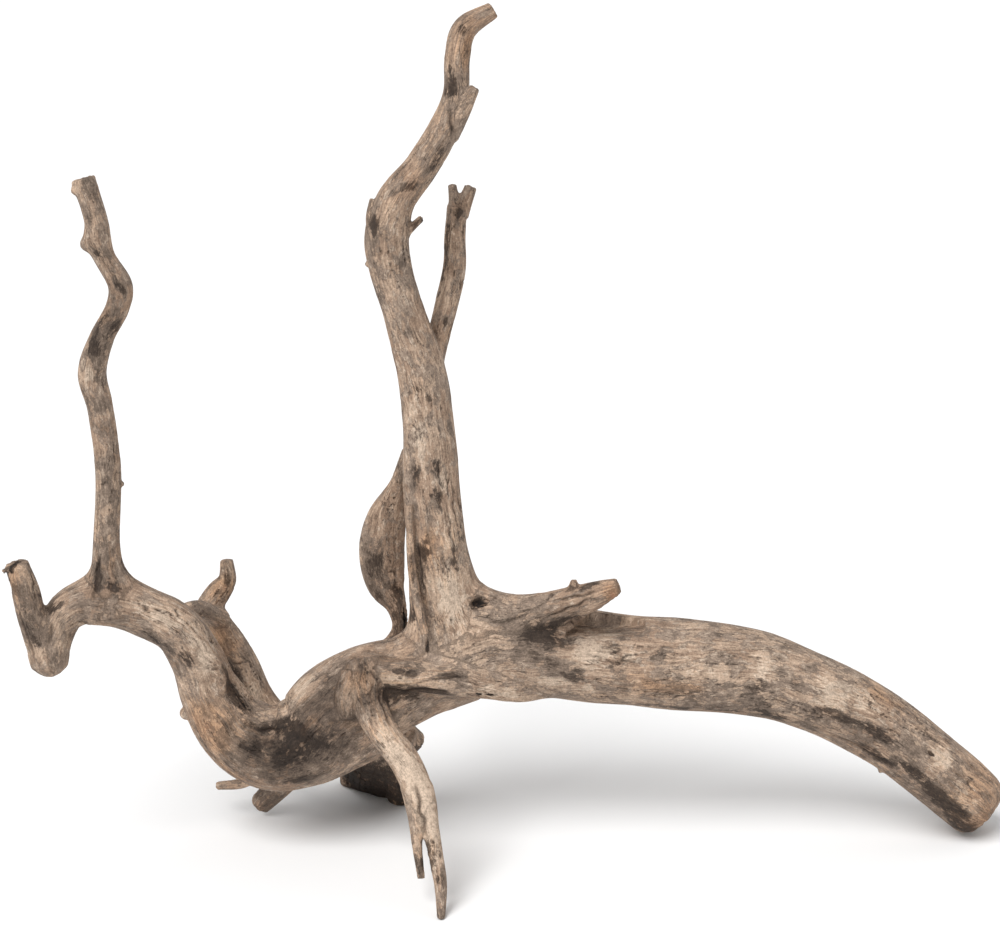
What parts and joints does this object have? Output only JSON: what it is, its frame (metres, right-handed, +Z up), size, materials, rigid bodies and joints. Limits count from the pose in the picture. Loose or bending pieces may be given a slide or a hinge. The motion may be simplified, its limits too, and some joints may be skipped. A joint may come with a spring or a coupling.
{
  "type": "driftwood root",
  "caption": "Dry bleached tree root that stands on its own feet: a thick arm bending to the ground, a tall stem, and a curled neck with a thin upright.",
  "frame": {"origin": "middle of the bounding box in plan, on the ground that the feet stand on", "axes": "+X along the longest extent, towards the broken end of the thick arm; +Y from the slim front leg towards the buttress; +Z up"},
  "size_m": [0.6153, 0.1931, 0.5221],
  "materials": {
    "weathered_wood": "bare, dry and bleached by weather"
  },
  "bodies": {
    "root": {"driftwood_root": "weathered_wood"}
  },
  "joints": []
}
